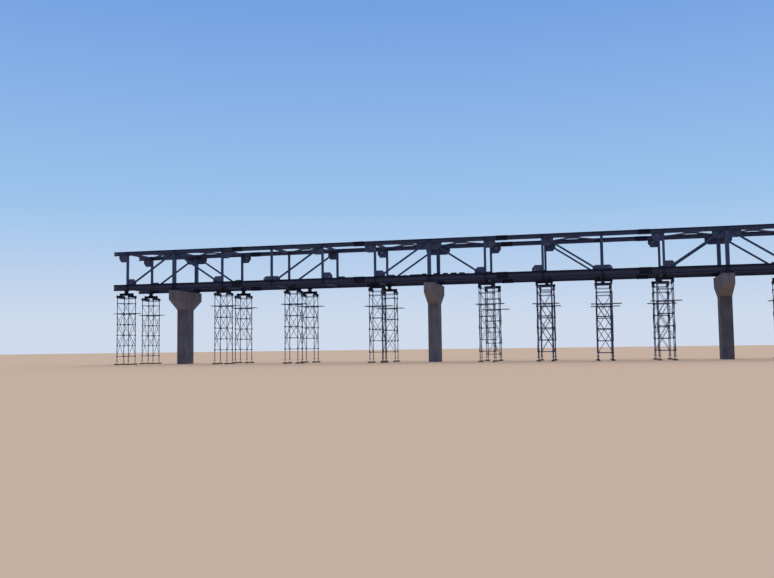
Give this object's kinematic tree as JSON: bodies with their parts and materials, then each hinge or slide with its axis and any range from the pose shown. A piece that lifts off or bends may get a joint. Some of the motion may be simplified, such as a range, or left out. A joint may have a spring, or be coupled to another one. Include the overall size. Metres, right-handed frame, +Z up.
{
  "type": "industrial pipe bridge, 1:2 scale model",
  "caption": "Open steel box-truss pipe bridge on flared concrete piers, still held up by tubular shoring towers during erection, built at half real size",
  "frame": {"origin": "on the ground under the middle pier, at the centre of the bridge's footprint", "axes": "X runs along the bridge, Y across it towards the far truss, Z up"},
  "size_m": [30.72, 3.166, 5.384],
  "materials": {
    "fairfaced_concrete": "cast concrete, dark with age and stained",
    "bearing_steel": "painted plate",
    "bearing_rubber": "moulded pad",
    "painted_steel": "dark blue-grey shop coat, satin",
    "scaffold_tube": "worn painted tube",
    "shoring_beam_steel": "painted rolled section",
    "rusty_steel": "bare steel, rusted",
    "sawn_timber": "sawn and weathered"
  },
  "bodies": {
    "root": {"pier_shaft_left": "fairfaced_concrete", "pier_shaft_middle": "fairfaced_concrete", "pier_shaft_right": "fairfaced_concrete", "pier_cap_left": "fairfaced_concrete", "pier_cap_middle": "fairfaced_concrete", "pier_cap_right": "fairfaced_concrete", "bearing_plates": "bearing_steel", "bearing_pads": "bearing_rubber", "near_bottom_chord": "painted_steel", "far_bottom_chord": "painted_steel", "near_top_chord": "painted_steel", "far_top_chord": "painted_steel", "near_posts": "painted_steel", "far_posts": "painted_steel", "near_pier_posts": "painted_steel", "far_pier_posts": "painted_steel", "near_diagonals": "painted_steel", "far_diagonals": "painted_steel", "near_top_gussets": "painted_steel", "far_top_gussets": "painted_steel", "near_bottom_gussets": "painted_steel", "far_bottom_gussets": "painted_steel", "near_splice_plates": "painted_steel", "far_splice_plates": "painted_steel", "floor_beams": "painted_steel", "top_struts": "painted_steel", "top_laterals": "painted_steel", "bottom_laterals": "painted_steel", "chord_blocks": "painted_steel", "shoring_towers_1": "scaffold_tube", "shoring_towers_2": "scaffold_tube", "shoring_towers_3": "scaffold_tube", "shoring_towers_4": "scaffold_tube", "shoring_towers_5": "scaffold_tube", "shoring_towers_6": "scaffold_tube", "shoring_towers_7": "scaffold_tube", "shoring_towers_8": "scaffold_tube", "shoring_towers_9": "scaffold_tube", "tower_cross_beams": "shoring_beam_steel", "tower_header_beams": "shoring_beam_steel", "steel_packs": "rusty_steel", "work_planks": "sawn_timber", "timber_sills": "sawn_timber"}
  },
  "joints": []
}
